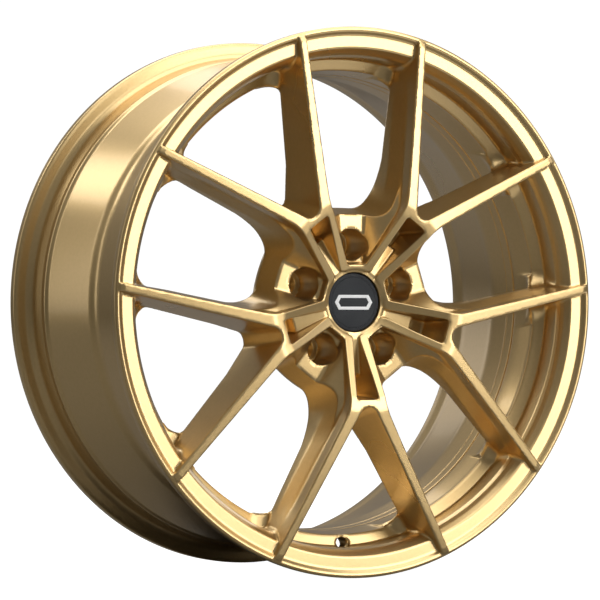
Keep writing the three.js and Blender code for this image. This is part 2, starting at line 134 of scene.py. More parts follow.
def arm_and_pads(at, outer_wall):
    """Arm and spokes in front, with the ring round the cap and the flat pads round the lugs.
    An arm has a straight upper wall, then a broad slope that runs down to the pad."""
    arm_half = np.interp(at.axial, [30, 39, 71, 94.7, 105, 300], [13, 14, 17.5, 20.2, 21.5, 60])
    pad_half = 14.7 + 0.5466 * (at.axial - 39)
    slope_top = at.land + 0.36 * (PAD_DEPTH - at.land)
    share = np.clip((at.depth - slope_top) / (PAD_DEPTH - slope_top), 0, 1.5)
    tilt = (pad_half - arm_half) / (PAD_DEPTH - slope_top)
    lean = np.where(share > 0, 1 / np.sqrt(1 + tilt * tilt), 1.0)
    arm_wall = at.side - arm_half - 0.03 * np.maximum(at.below, 0) - (pad_half - arm_half) * share
    ring_wall = (at.lug_out - 37 - 0.36 * np.maximum(at.depth - 12.2, 0)) * 0.94
    walls = smooth_min(smooth_min(arm_wall * lean, outer_wall, 3.0), ring_wall, 2.5)
    above_land = (at.land - at.depth) * np.where(at.radius < 100, 0.93, 1.0)
    pad = PAD_DEPTH + 0.06 * (at.lug_out - LUG_CENTRE)
    return smooth_min(smooth_max(walls, above_land, 1.6), pad - at.depth, 2.4)


def wide_window(at, outer_wall):
    """The opening between two arms, with round corners beside the hub."""
    hub_edge = (at.lug_out - (86.3 + 0.3 * (at.depth - PAD_DEPTH))) * 0.958
    return smooth_max(-0.45 * hub_edge, -outer_wall, 23.0)


MOUNT_FACE = 76
BACK_POCKET_CENTRE = 60
BACK_POCKET_FLOOR = 56


def behind_hub(at):
    """All that lies behind the spokes and round the hub's back, with its flat mounting face."""
    hub_back = np.interp(at.depth, [50, 53, 58, MOUNT_FACE], [95, 95, 79.5, 77])
    spoke_back = np.interp(at.radius, [95, 112, 150, 240], [49.5, 46, 38.5, 38])
    hub_skin = smooth_max(at.radius - hub_back, at.depth - MOUNT_FACE, 1.4)
    return smooth_min(at.depth - spoke_back, hub_skin, 4.0)


def back_pocket(at):
    """A round pocket in the hub's back, behind the arm."""
    wall = 10.6 + 0.08 * (at.depth - BACK_POCKET_FLOOR)
    across = np.hypot(at.axial - BACK_POCKET_CENTRE, at.side)
    return np.maximum(across - wall, BACK_POCKET_FLOOR - at.depth)


LIP = [
    (266.8, 0.3), (268.6, 0.0), (270.6, 0.5), (271.3, 1.6), (271.3, 8.4), (270.4, 10.2),
    (268.5, 11.0), (259.5, 13.0), (256.4, 14.4), (254.6, 16.6), (254.0, 19.4),
    (252.5, 37.6), (252.9, 39.8), (253.5, 41.2), (253.2, 43.2), (251.6, 45.6),
    (248.0, 48.4), (238.6, 56.0), (235.6, 58.9), (234.2, 61.8), (234.0, 65.0),
    (234.0, 75.0), (228.5, 75.0), (228.5, 47.2), (228.9, 44.0), (229.9, 42.0),
    (241.8, 37.5), (242.3, 36.2), (242.5, 18.0), (244.0, 13.2), (246.3, 9.5),
    (250.2, 4.5), (251.3, 4.0), (262.6, 3.5), (263.6, 3.2),
]


def past_spoke_end(at):
    """Spokes end inside the lip, further in with depth."""
    depths = [-20, 0.5, 5, 14, 34, 45, 60]
    return at.radius - np.interp(at.depth, depths, [268.2, 268.2, 258, 249, 247, 240, 232])


def lip_fillet(at):
    """Size of the fillet between spokes and lip, which is small on the tyre's side."""
    fillet = np.interp(at.depth, [3, 8, 16, 32, 40], [0.8, 3.0, 5.5, 8.0, 18.0])
    tyre_side = np.interp(at.depth, [16, 40, 48, 56, 62], [247.5, 247, 240, 233, 231])
    beyond = ramp(at.radius, tyre_side, tyre_side + 4)
    return fillet * (1 - 0.95 * beyond * ramp(at.depth, 12, 16))


def undercut(at):
    """Behind the lip's inner edge, between the spokes, fading out along the barrel."""
    clear = np.where(at.side > 0.4 * at.axial, at.past_outer - 17, -at.off_notch - 6)
    groove = np.abs(at.radius - 228.2) - 3.0 + 0.1 * np.maximum(at.depth - 43.5, 0)
    return smooth_max(np.maximum(groove, 42.6 - at.depth), -clear, 3.0)


LUG_POCKET = 15.6
LUG_HOLE = 7.3
SEAT_DEPTH = 57


def lug_bore(at):
    """Lug pocket, cone seat and bolt hole."""
    from_lug = np.hypot(at.lug_out - LUG_CENTRE, at.lug_side)
    pocket = np.maximum(from_lug - LUG_POCKET, at.depth - SEAT_DEPTH)
    cone = (from_lug - 10.5 + 0.577 * (at.depth - SEAT_DEPTH)) * 0.866
    seat = np.maximum(cone, np.abs(at.depth - 60) - 4)
    return np.minimum(np.minimum(pocket, seat), from_lug - LUG_HOLE)


def arm_pocket(at):
    """Long pocket down the arm's middle, with a step down to its deep outer end. It flares
    into the shallow trench round the cap."""
    flare_at = [30, 31.5, 33.5, 36, 40, 71, 95.5, 110]
    half = np.interp(at.axial, flare_at, [8.5, 6.4, 4.9, 4.1, 4.4, 9.4, 12.5, 14])
    half = half - 0.05 * np.maximum(at.below, 0)
    floor = np.interp(at.axial, [30, 37, 69, 110], [14.4, 14.6, 18.5, 20])
    shallow = np.maximum(at.depth - floor, at.axial - 94)
    deep = smooth_max(at.depth - 31, 70.5 - at.axial + 0.12 * (at.depth - 17), 4.0)
    slot = smooth_max(at.side - half, smooth_min(shallow, deep, 1.2), 2.0)
    slot = smooth_max(slot, at.axial - (95.5 - 0.06 * np.maximum(at.below, 0)), 3.6)
    trench = smooth_max(at.radius - 32.1, at.depth - 14.5, 0.4)
    return smooth_min(slot, trench, 3.0)


CENTRE_BORE = [
    (0, -40), (30.3, -40), (30.3, 14.4), (29.5, 15.6), (29.5, 20.2), (27.0, 20.2),
    (27.0, 32.2), (29.5, 32.2), (29.5, 41.0), (36.55, 44.0), (36.55, 74.5), (38.4, 76.3),
    (38.4, 95), (0, 95),
]
VALVE_CENTRE = 238.6
VALVE_SPOT_FACE = 7.9
VALVE_HOLE = 5.7


def valve_bore(at):
    """Valve hole through the lip's shelf, with a round flat for its nut."""
    from_valve = np.hypot(at.axial - VALVE_CENTRE, at.side)
    spot_face = np.maximum(from_valve - VALVE_SPOT_FACE, np.abs(at.depth - 37.2) - 3.2)
    drilled = np.maximum(from_valve - VALVE_HOLE, np.abs(at.depth - 48.0) - 13.0)
    return np.minimum(spot_face, drilled)


def forging(radius, angle, depth, valve):
    """Distance in mm from the forging's skin, negative inside the metal."""
    at = place_in(radius, angle, depth)
    outer_wall = spoke_outer_wall(at)
    body = arm_and_pads(at, outer_wall)
    body = smooth_max(body, -wide_window(at, outer_wall), 0.8)
    body = smooth_max(body, NOTCH_ROUND - at.from_notch, 1.6)
    body = smooth_max(body, behind_hub(at), 2.6)
    body = smooth_max(body, -back_pocket(at), 1.6)
    body = smooth_max(body, past_spoke_end(at), 1.2)
    body = smooth_min(body, outline_distance(radius, depth, LIP), lip_fillet(at))
    body = smooth_max(body, -undercut(at), 1.0)
    body = smooth_max(body, -lug_bore(at), 1.6)
    body = smooth_max(body, -arm_pocket(at), 1.3)
    body = smooth_max(body, -outline_distance(radius, depth, CENTRE_BORE), 0.8)
    if valve:
        body = smooth_max(body, -valve_bore(at), 0.6)
    return body


COARSER = 1.0
RADIUS_SPANS = [(25.2, 100, 1.75), (100, 236, 2.6), (236, 274.4, 1.15)]
DEPTH_SPANS = [(-16.3, 20, 1.35), (20, 79, 2.0)]
STEPS_ROUND = 114
LONGEST_MOVE = 0.8


def grid_lines(spans):
    """Grid lines from spans of (start, end, cell) that follow on from each other."""
    return np.concatenate([np.arange(start, end, cell * COARSER) for start, end, cell in spans])


def drawn_onto_skin(radius, angle, depth, first, last, valve):
    """Corners moved onto the true skin. Those on the two cut planes stay in their plane."""
    nudge = 0.02
    for _ in range(3):
        angle[first], angle[last] = 0.0, HALF_SECTOR
        value = forging(radius, angle, depth, valve)
        across = forging(radius + nudge, angle, depth, valve) - value
        around = forging(radius, angle + nudge / radius, depth, valve) - value
        around[first | last] = 0.0
        along = forging(radius, angle, depth + nudge, valve) - value
        slope = np.stack([across, around, along]) / nudge
        move = value / np.maximum((slope * slope).sum(axis=0), 0.25)
        move = np.clip(move, -LONGEST_MOVE, LONGEST_MOVE)
        radius = radius - move * slope[0]
        angle = angle - move * slope[1] / radius
        depth = depth - move * slope[2]
    angle[first], angle[last] = 0.0, HALF_SECTOR
    return radius, angle, depth


def skin(valve):
    """Corners (radius, angle, depth) and faces of the forging's skin over half a sector.
    Each grid cell that the skin passes through gets one corner, in the middle of the places
    where the skin crosses the cell's edges, and each crossed edge one four-sided face."""
    radii = grid_lines(RADIUS_SPANS)
    step = HALF_SECTOR / STEPS_ROUND
    angles = (np.arange(STEPS_ROUND + 2) - 0.5) * step
    depths = grid_lines(DEPTH_SPANS)
    field = forging(radii[:, None, None], angles[None, :, None], depths[None, None, :], valve)
    inside = field < 0
    shape = tuple(n - 1 for n in field.shape)
    total = np.zeros(shape + (3,))
    count = np.zeros(shape)
    quads = []
    for axis in range(3):
        near = [slice(None)] * 3
        far = [slice(None)] * 3
        near[axis], far[axis] = slice(None, -1), slice(1, None)
        low, high = field[tuple(near)], field[tuple(far)]
        crossing = inside[tuple(near)] != inside[tuple(far)]
        share = np.where(crossing, low / np.where(crossing, low - high, 1.0), 0.0)
        others = [a for a in range(3) if a != axis]
        for i in (0, 1):
            for j in (0, 1):
                pick = [slice(None)] * 3
                pick[others[0]] = slice(i, field.shape[others[0]] - 1 + i)
                pick[others[1]] = slice(j, field.shape[others[1]] - 1 + j)
                hit = crossing[tuple(pick)]
                total[..., axis] += np.where(hit, share[tuple(pick)], 0)
                total[..., others[0]] += i * hit
                total[..., others[1]] += j * hit
                count += hit
        hits = np.argwhere(crossing)
        keep = [(hits[:, o] > 0) & (hits[:, o] < field.shape[o] - 1) for o in others]
        hits = hits[np.all(keep, axis=0)]
        faces = []
        for i, j in ((1, 1), (0, 1), (0, 0), (1, 0)):
            cell = hits.copy()
            cell[:, others[0]] -= i
            cell[:, others[1]] -= j
            faces.append(np.ravel_multi_index(cell.T, shape))
        faces = np.stack(faces, axis=1)
        outward = inside[tuple(hits.T)] ^ (axis == 1)
        faces[~outward] = faces[~outward][:, ::-1]
        quads.append(faces)
    quads = np.concatenate(quads)
    used, quads = np.unique(quads, return_inverse=True)
    quads = quads.reshape(-1, 4)
    cells = np.stack(np.unravel_index(used, shape), axis=1)
    where = cells + total.reshape(-1, 3)[used] / count.reshape(-1)[used][:, None]
    radius = np.interp(where[:, 0], np.arange(len(radii)), radii)
    angle = angles[0] + where[:, 1] * step
    depth = np.interp(where[:, 2], np.arange(len(depths)), depths)
    first, last = cells[:, 1] == 0, cells[:, 1] == STEPS_ROUND
    corners = drawn_onto_skin(radius, angle, depth, first, last, valve)
    return *corners, quads


def half_sector(name, valve):
    """Half a sector as a mesh, closed on the plane that cuts through the lug."""
    radius, angle, depth, quads = skin(valve)
    points = np.stack([radius * np.sin(angle), depth - FACE_MIDDLE, radius * np.cos(angle)], axis=1)
    mesh = bpy.data.meshes.new(name)
    mesh.from_pydata((points * MM).tolist(), [], quads.tolist())
    shell = bmesh.new()
    shell.from_mesh(mesh)
    normal = Vector((math.cos(HALF_SECTOR), 0, -math.sin(HALF_SECTOR)))
    rim = []
    for edge in shell.edges:
        if edge.is_boundary and all(abs(v.co.dot(normal)) < 1e-6 for v in edge.verts):
            rim.append(edge)
    bmesh.ops.triangle_fill(shell, edges=rim, use_beauty=False, normal=normal)
    shell.to_mesh(mesh)
    shell.free()
    return mesh


def input_socket(tree, name, kind, value=None):
    socket = tree.interface.new_socket(name=name, in_out="INPUT", socket_type=kind)
    if value is not None:
        socket.default_value = value
    return socket


def evaluated_mesh(obj, name):
    """The object's mesh with its node tree worked out, as plain mesh data."""
    view = bpy.context.evaluated_depsgraph_get()
    mesh = bpy.data.meshes.new_from_object(obj.evaluated_get(view))
    mesh.name = name
    return mesh


FLAT_WEIGHT = 90


def placed(name, mesh, body, slot, crease, *nodes):
    """A finished piece: smooth faces with creases kept sharp, riding on its body."""
    mesh.polygons.foreach_set("use_smooth", np.ones(len(mesh.polygons), bool))
    mesh.set_sharp_from_angle(angle=math.radians(crease))
    rough_piece = bpy.data.objects.new("rough_piece", mesh)
    bpy.context.scene.collection.objects.link(rough_piece)
    even = rough_piece.modifiers.new("even_flats", "WEIGHTED_NORMAL")
    even.keep_sharp = True
    even.weight = FLAT_WEIGHT
    piece = bpy.data.objects.new(name, evaluated_mesh(rough_piece, name))
    bpy.data.objects.remove(rough_piece)
    bpy.context.scene.collection.objects.link(piece)
    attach(piece, body)
    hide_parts(*nodes)
    return piece


NOISE_LOW, NOISE_HIGH = 0.3, 0.7


def noise(tree, vector, scale, detail, low, high):
    """A noise texture of an object-space vector, spread between two values."""
    texture = tree.nodes.new("ShaderNodeTexNoise")
    texture.inputs["Scale"].default_value = scale
    texture.inputs["Detail"].default_value = detail
    spread = tree.nodes.new("ShaderNodeMapRange")
    spread.inputs["From Min"].default_value = NOISE_LOW
    spread.inputs["From Max"].default_value = NOISE_HIGH
    spread.inputs["To Min"].default_value = low
    spread.inputs["To Max"].default_value = high
    tree.links.new(vector, texture.inputs["Vector"])
    tree.links.new(texture.outputs["Fac"], spread.inputs["Value"])
    return spread.outputs["Result"]


COAT_ROUGHNESS = 0.12
GRAIN_HEIGHT = 0.0002


def finish_of(name, low, high, metallic, roughness, grain, bump, coat=0.0):
    """A finish whose colour and roughness vary, with a fine grain in the surface."""
    finish = bpy.data.materials.new(name)
    finish.use_nodes = True
    tree = finish.node_tree
    shader = tree.nodes["Principled BSDF"]
    place = tree.nodes.new("ShaderNodeTexCoord").outputs["Object"]
    shader.inputs["Metallic"].default_value = metallic
    shader.inputs["Coat Weight"].default_value = coat
    shader.inputs["Coat Roughness"].default_value = COAT_ROUGHNESS
    mix = tree.nodes.new("ShaderNodeMix")
    mix.data_type = "RGBA"
    mix.inputs["A"].default_value = (*low, 1)
    mix.inputs["B"].default_value = (*high, 1)
    tree.links.new(noise(tree, place, grain, 2.0, 0.0, 1.0), mix.inputs["Factor"])
    tree.links.new(mix.outputs["Result"], shader.inputs["Base Color"])
    rough = noise(tree, place, grain * 0.02, 3.0, roughness[0], roughness[1])
    tree.links.new(rough, shader.inputs["Roughness"])
    lift = tree.nodes.new("ShaderNodeBump")
    lift.inputs["Strength"].default_value = bump
    lift.inputs["Distance"].default_value = GRAIN_HEIGHT
    tree.links.new(noise(tree, place, grain * 0.5, 3.0, 0.0, 1.0), lift.inputs["Height"])
    tree.links.new(lift.outputs["Normal"], shader.inputs["Normal"])
    return finish


gold = finish_of(
    "gold_coat", (0.625, 0.438, 0.190), (0.655, 0.458, 0.204), metallic=0.9,
    roughness=(0.27, 0.30), grain=300, bump=0.01, coat=0.4,
)

WELD_GAP = 0.000004
mirror = bpy.data.node_groups.new("mirrored_sector", "GeometryNodeTree")
input_socket(mirror, "Half", "NodeSocketGeometry")
input_socket(mirror, "Turn", "NodeSocketFloat", 0.0)
input_socket(mirror, "Finish", "NodeSocketMaterial")
mirror.interface.new_socket(name="Sector", in_out="OUTPUT", socket_type="NodeSocketGeometry")
entry = mirror.nodes.new("NodeGroupInput")
leave = mirror.nodes.new("NodeGroupOutput")
flip = mirror.nodes.new("GeometryNodeTransform")
flip.inputs["Scale"].default_value = (-1, 1, 1)
turned = mirror.nodes.new("GeometryNodeFlipFaces")
both = mirror.nodes.new("GeometryNodeJoinGeometry")
weld = mirror.nodes.new("GeometryNodeMergeByDistance")
weld.inputs["Distance"].default_value = WELD_GAP
swing = mirror.nodes.new("ShaderNodeCombineXYZ")
spin = mirror.nodes.new("GeometryNodeTransform")
real = mirror.nodes.new("GeometryNodeRealizeInstances")
dress = mirror.nodes.new("GeometryNodeSetMaterial")
for start, end in (
    (entry.outputs["Half"], flip.inputs["Geometry"]),
    (flip.outputs["Geometry"], turned.inputs["Mesh"]),
    (turned.outputs["Mesh"], both.inputs["Geometry"]),
    (entry.outputs["Half"], both.inputs["Geometry"]),
    (both.outputs["Geometry"], weld.inputs["Geometry"]),
    (weld.outputs["Geometry"], spin.inputs["Geometry"]),
    (entry.outputs["Turn"], swing.inputs["Y"]),
    (swing.outputs["Vector"], spin.inputs["Rotation"]),
    (spin.outputs["Geometry"], real.inputs["Geometry"]),
    (real.outputs["Geometry"], dress.inputs["Geometry"]),
    (entry.outputs["Finish"], dress.inputs["Material"]),
    (dress.outputs["Geometry"], leave.inputs["Sector"]),
):
    mirror.links.new(start, end)


def set_inputs(modifier, **values):
    """Sets a node tree's named inputs on the modifier that carries it."""
    for item in modifier.node_group.interface.items_tree:
        if item.in_out == "INPUT" and item.name in values:
            modifier[item.identifier] = values[item.name]


VALVE_ARM = 3
plain_half = half_sector("half_plain", valve=False)
valve_half = half_sector("half_valve", valve=True)
for arm in range(1, ARMS + 1):
    half = valve_half if arm == VALVE_ARM else plain_half
    maker = bpy.data.objects.new("sector_maker", half)
    bpy.context.scene.collection.objects.link(maker)
    nodes = maker.modifiers.new("mirrored", "NODES")
    nodes.node_group = mirror
    set_inputs(nodes, Turn=(2 * arm - 1) * HALF_SECTOR, Finish=gold)
    sector = evaluated_mesh(maker, f"face_sector_{arm}")
    bpy.data.objects.remove(maker)
    placed(f"face_sector_{arm}", sector, "wheel", "gold_finish", 48,
           f"arm_{arm}", f"spoke_{arm}_left", f"spoke_{arm}_right", "hub", "outer_lip")

# ---- Barrel and rear flange ----------------------------------------------------------------
# The rest of the same forging, spun and turned: a drop-centre well, a long cone that opens
# towards the rear bead seat with its safety hump, and the rear flange with a rolled edge.
def softened(outline, radius, steps=4):
    """The outline with each corner replaced by a short curve."""
    result = []
    count = len(outline)
    for i, here in enumerate(outline):
        here = np.array(here, float)
        back = np.array(outline[i - 1], float) - here
        ahead = np.array(outline[(i + 1) % count], float) - here
        cut = min(radius, 0.45 * np.linalg.norm(back), 0.45 * np.linalg.norm(ahead))
        start = here + back / np.linalg.norm(back) * cut
        end = here + ahead / np.linalg.norm(ahead) * cut
        for t in np.linspace(0, 1, steps):
            result.append(tuple((1 - t) ** 2 * start + 2 * t * (1 - t) * here + t * t * end))
    return result


def close_up(mesh):
    """Merges doubled corners, drops edges without a face and turns the faces outwards."""
    shell = bmesh.new()
    shell.from_mesh(mesh)
    bmesh.ops.remove_doubles(shell, verts=shell.verts, dist=1e-7)
    loose = [edge for edge in shell.edges if not edge.link_faces]
    bmesh.ops.delete(shell, geom=loose, context="EDGES")
    bmesh.ops.recalc_face_normals(shell, faces=shell.faces)
    shell.to_mesh(mesh)
    shell.free()


def lathe(name, outline, segments):
    """A closed ring or disc from (radius, depth) corners, turned about the wheel's axis."""
    turns = np.linspace(0, 2 * math.pi, segments, endpoint=False)
    count = len(outline)
    points = []
    for turn in turns:
        points += [(r * math.sin(turn), d - FACE_MIDDLE, r * math.cos(turn)) for r, d in outline]
    faces = []
    for s in range(segments):
        here, after = s * count, (s + 1) % segments * count
        for i in range(count):
            j = (i + 1) % count
            faces.append((here + i, after + i, after + j, here + j))
    mesh = bpy.data.meshes.new(name)
    mesh.from_pydata((np.array(points) * MM).tolist(), [], faces)
    close_up(mesh)
    return mesh


BARREL = [
    (234.0, 75.0), (234.0, 112.0), (234.8, 118.0), (238.0, 125.5), (250.5, 191.5),
    (252.6, 195.0), (252.9, 197.0), (252.4, 200.0), (252.2, 203.0), (254.0, 218.0),
    (255.4, 222.0), (259.0, 224.9), (267.8, 226.4), (270.6, 227.4), (271.3, 229.2),
    (271.3, 236.0), (270.4, 237.2), (269.0, 237.4), (266.2, 237.4), (264.6, 236.6),
    (262.0, 232.6), (258.0, 229.6), (249.5, 226.2), (247.0, 221.5), (245.8, 212.0),
    (245.8, 201.0), (244.8, 195.5), (243.3, 189.0), (230.8, 125.5), (229.2, 118.5),
    (228.5, 112.0), (228.5, 89.6), (228.1, 89.0), (228.1, 88.2), (228.5, 87.6), (228.5, 75.0),
]
BARREL_SEGMENTS = 360
CORNER_ROUND = 3.0
barrel = lathe("barrel", softened(BARREL, CORNER_ROUND), BARREL_SEGMENTS)
barrel.materials.append(gold)
placed("barrel", barrel, "wheel", "gold_finish", 40, "rim_barrel", "rear_flange")

# ---- Centre cap ----------------------------------------------------------------------------
# A moulded black plastic disc with eight springy legs behind it, snapped into the hub.
# The face has a rounded rim and a shallow seat for the emblem disc.
black = finish_of(
    "cap_black", (0.008, 0.009, 0.011), (0.014, 0.015, 0.018), metallic=0.0,
    roughness=(0.38, 0.46), grain=3000, bump=0.25,
)
black.node_tree.nodes["Principled BSDF"].inputs["Specular IOR Level"].default_value = 0.25
CAP_PLATE = [
    (0, 18.8), (25.1, 18.8), (25.15, 18.6), (25.15, 17.35), (25.2, 17.3), (27.9, 17.3),
    (28.6, 17.45), (29.05, 17.9), (29.2, 18.5), (29.2, 19.7), (29.0, 19.9), (26.0, 19.9),
    (26.0, 22.6), (24.0, 22.6), (24.0, 19.9), (0, 19.9),
]
CAP_SEGMENTS = 128
plate = lathe("cap_plate", CAP_PLATE, CAP_SEGMENTS)
LEGS = 8
LEG_HALF_TURN = 0.18
LEG_STEPS = 9


def leg_block():
    """One leg with its barb, as a bent block that faces +Z: a plain inside and an outside of
    (radius, depth) points, repeated in steps across the leg."""
    inside = 23.9
    outside = [(25.5, 22.2), (25.5, 30.6), (26.7, 31.9), (26.4, 32.8), (25.3, 34.4)]
    tall = len(outside)
    points, faces = [], []
    for turn in np.linspace(-LEG_HALF_TURN, LEG_HALF_TURN, LEG_STEPS):
        for outer, depth in outside:
            for r in (inside, outer):
                points.append((r * math.sin(turn), depth - FACE_MIDDLE, r * math.cos(turn)))

    def quad(*corners):
        faces.append(tuple((i * tall + j) * 2 + k for i, j, k in corners))

    for i in range(LEG_STEPS - 1):
        for j in range(tall - 1):
            quad((i, j, 1), (i + 1, j, 1), (i + 1, j + 1, 1), (i, j + 1, 1))
            quad((i, j, 0), (i, j + 1, 0), (i + 1, j + 1, 0), (i + 1, j, 0))
        for j in (0, tall - 1):
            quad((i, j, 0), (i + 1, j, 0), (i + 1, j, 1), (i, j, 1))
    for i in (0, LEG_STEPS - 1):
        for j in range(tall - 1):
            quad((i, j, 0), (i, j, 1), (i, j + 1, 1), (i, j + 1, 0))
    mesh = bpy.data.meshes.new("cap_leg")
    mesh.from_pydata((np.array(points) * MM).tolist(), [], faces)
    close_up(mesh)
    return mesh


repeat = bpy.data.node_groups.new("repeated_round_axis", "GeometryNodeTree")
input_socket(repeat, "Base", "NodeSocketGeometry")
input_socket(repeat, "Repeated", "NodeSocketObject")
input_socket(repeat, "Count", "NodeSocketInt", LEGS)
input_socket(repeat, "Finish", "NodeSocketMaterial")
repeat.interface.new_socket(name="Whole", in_out="OUTPUT", socket_type="NodeSocketGeometry")
entry = repeat.nodes.new("NodeGroupInput")
leave = repeat.nodes.new("NodeGroupOutput")
spots = repeat.nodes.new("GeometryNodePoints")
info = repeat.nodes.new("GeometryNodeObjectInfo")
index = repeat.nodes.new("GeometryNodeInputIndex")
portion = repeat.nodes.new("ShaderNodeMath")
portion.operation = "DIVIDE"
whole_turn = repeat.nodes.new("ShaderNodeMath")
whole_turn.operation = "MULTIPLY"
whole_turn.inputs[1].default_value = 2 * math.pi
swing = repeat.nodes.new("ShaderNodeCombineXYZ")
copies = repeat.nodes.new("GeometryNodeInstanceOnPoints")
both = repeat.nodes.new("GeometryNodeJoinGeometry")
real = repeat.nodes.new("GeometryNodeRealizeInstances")
dress = repeat.nodes.new("GeometryNodeSetMaterial")
for start, end in (
    (entry.outputs["Count"], spots.inputs["Count"]),
    (entry.outputs["Repeated"], info.inputs["Object"]),
    (index.outputs["Index"], portion.inputs[0]),
    (entry.outputs["Count"], portion.inputs[1]),
    (portion.outputs["Value"], whole_turn.inputs[0]),
    (whole_turn.outputs["Value"], swing.inputs["Y"]),
    (spots.outputs["Points"], copies.inputs["Points"]),
    (info.outputs["Geometry"], copies.inputs["Instance"]),
    (swing.outputs["Vector"], copies.inputs["Rotation"]),
    (copies.outputs["Instances"], both.inputs["Geometry"]),
    (entry.outputs["Base"], both.inputs["Geometry"]),
    (both.outputs["Geometry"], real.inputs["Geometry"]),
    (real.outputs["Geometry"], dress.inputs["Geometry"]),
    (entry.outputs["Finish"], dress.inputs["Material"]),
    (dress.outputs["Geometry"], leave.inputs["Whole"]),
):
    repeat.links.new(start, end)


def with_repeats(name, base, part, count, finish):
    """The base mesh together with copies of a part set evenly round the wheel's axis."""
    carrier = bpy.data.objects.new("carrier", base)
    single = bpy.data.objects.new("single", part)
    bpy.context.scene.collection.objects.link(carrier)
    bpy.context.scene.collection.objects.link(single)
    nodes = carrier.modifiers.new("repeated", "NODES")
    nodes.node_group = repeat
    set_inputs(nodes, Repeated=single, Count=count, Finish=finish)
    mesh = evaluated_mesh(carrier, name)
    bpy.data.objects.remove(carrier)
    bpy.data.objects.remove(single)
    return mesh


cap = with_repeats("cap_moulding", plate, leg_block(), LEGS, black)
placed("cap_moulding", cap, "centre_cap", "cap_plastic", 35, "cap_body")

# ---- Cap emblem ----------------------------------------------------------------------------
# The thin disc that carries the cap's mark, moulded on its own in satin black plastic. Its
# front is very slightly domed, and its back is glued into the cap's seat.
DOME_RADIUS = 25.0
DOME_FRONT = 17.15
DOME_RISE = 0.16
dome = [(r, DOME_FRONT + DOME_RISE * (r / DOME_RADIUS) ** 2) for r in np.linspace(0, 24.95, 14)]
dome += [(DOME_RADIUS, 17.4), (DOME_RADIUS, 18.45), (0, 18.45)]
disc = lathe("emblem_disc", dome, CAP_SEGMENTS)
satin = finish_of(
    "emblem_satin", (0.008, 0.010, 0.012), (0.014, 0.016, 0.019), metallic=0.0,
    roughness=(0.30, 0.38), grain=1500, bump=0.08,
)
satin.node_tree.nodes["Principled BSDF"].inputs["Specular IOR Level"].default_value = 0.18
disc.materials.append(satin)
placed("emblem_disc", disc, "centre_cap", "emblem_black", 35, "cap_emblem")

# ---- Cap mark ------------------------------------------------------------------------------
# A plain elongated hexagon outline, pad-printed on the disc in thick white ink. The ink
# stands slightly proud, with its edges eased.
MARK_HALF_LENGTH = 21.5
MARK_HALF_HEIGHT = 7.3
MARK_STROKE = 3.0


def hexagon(inset):
    """Corners of the mark's outline, moved inwards by an inset."""
    long, high = MARK_HALF_LENGTH - 1.4 * inset, MARK_HALF_HEIGHT - inset
    shoulder = long - 0.6 * high
    upper = [(-long, 0), (-shoulder, high), (shoulder, high)]
    return upper + [(-x, -z) for x, z in upper]


stroke = [(0, 17.6), (0, 17.0), (0.25, 16.9)]
stroke += [(MARK_STROKE - inset, depth) for inset, depth in reversed(stroke)]
points, faces = [], []
for inset, depth in stroke:
    points += [(x * MM, (depth - FACE_MIDDLE) * MM, z * MM) for x, z in hexagon(inset)]
rows, corners = len(stroke), len(hexagon(0))
for row in range(rows):
    for i in range(corners):
        here, after = row * corners, (row + 1) % rows * corners
        j = (i + 1) % corners
        faces.append((here + i, here + j, after + j, after + i))
mark = bpy.data.meshes.new("cap_outline_mark")
mark.from_pydata(points, [], faces)
close_up(mark)
white = finish_of(
    "mark_white", (0.93, 0.93, 0.92), (0.97, 0.97, 0.96), metallic=0.0,
    roughness=(0.4, 0.5), grain=2000, bump=0.1,
)
mark.materials.append(white)
placed("cap_outline_mark", mark, "centre_cap", "mark_white", 20, "cap_mark")

# ---- Cap spring ring -----------------------------------------------------------------------
# A bright spring-steel wire bent round inside the cap's legs, which it presses outwards into
# the hub. A short split between its ends lets it be closed up and slipped in.
RING_DEPTH = 27.9
RING_RADIUS = 23.05
WIRE_RADIUS = 0.8
WIRE_SIDES = 12
RING_STEPS = 120
HALF_SPLIT = math.radians(7)
points, faces = [], []
for turn in np.linspace(HALF_SPLIT, 2 * math.pi - HALF_SPLIT, RING_STEPS):
    for s in range(WIRE_SIDES):
        a = 2 * math.pi * s / WIRE_SIDES
        r = RING_RADIUS + WIRE_RADIUS * math.cos(a)
        depth = RING_DEPTH + WIRE_RADIUS * math.sin(a)
        points.append((r * math.sin(turn), depth - FACE_MIDDLE, r * math.cos(turn)))
for i in range(RING_STEPS - 1):
    here, after = i * WIRE_SIDES, (i + 1) * WIRE_SIDES
    for s in range(WIRE_SIDES):
        n = (s + 1) % WIRE_SIDES
        faces.append((here + s, here + n, after + n, after + s))
for end in (0, (RING_STEPS - 1) * WIRE_SIDES):
    faces.append(tuple(range(end, end + WIRE_SIDES)))
spring = bpy.data.meshes.new("spring_wire")
spring.from_pydata((np.array(points) * MM).tolist(), [], faces)
close_up(spring)
steel = finish_of(
    "spring_steel", (0.50, 0.51, 0.53), (0.62, 0.63, 0.65), metallic=1.0,
    roughness=(0.2, 0.3), grain=1800, bump=0.05,
)
spring.materials.append(steel)
placed("spring_wire", spring, "centre_cap", "spring_wire", 40, "cap_spring_ring")

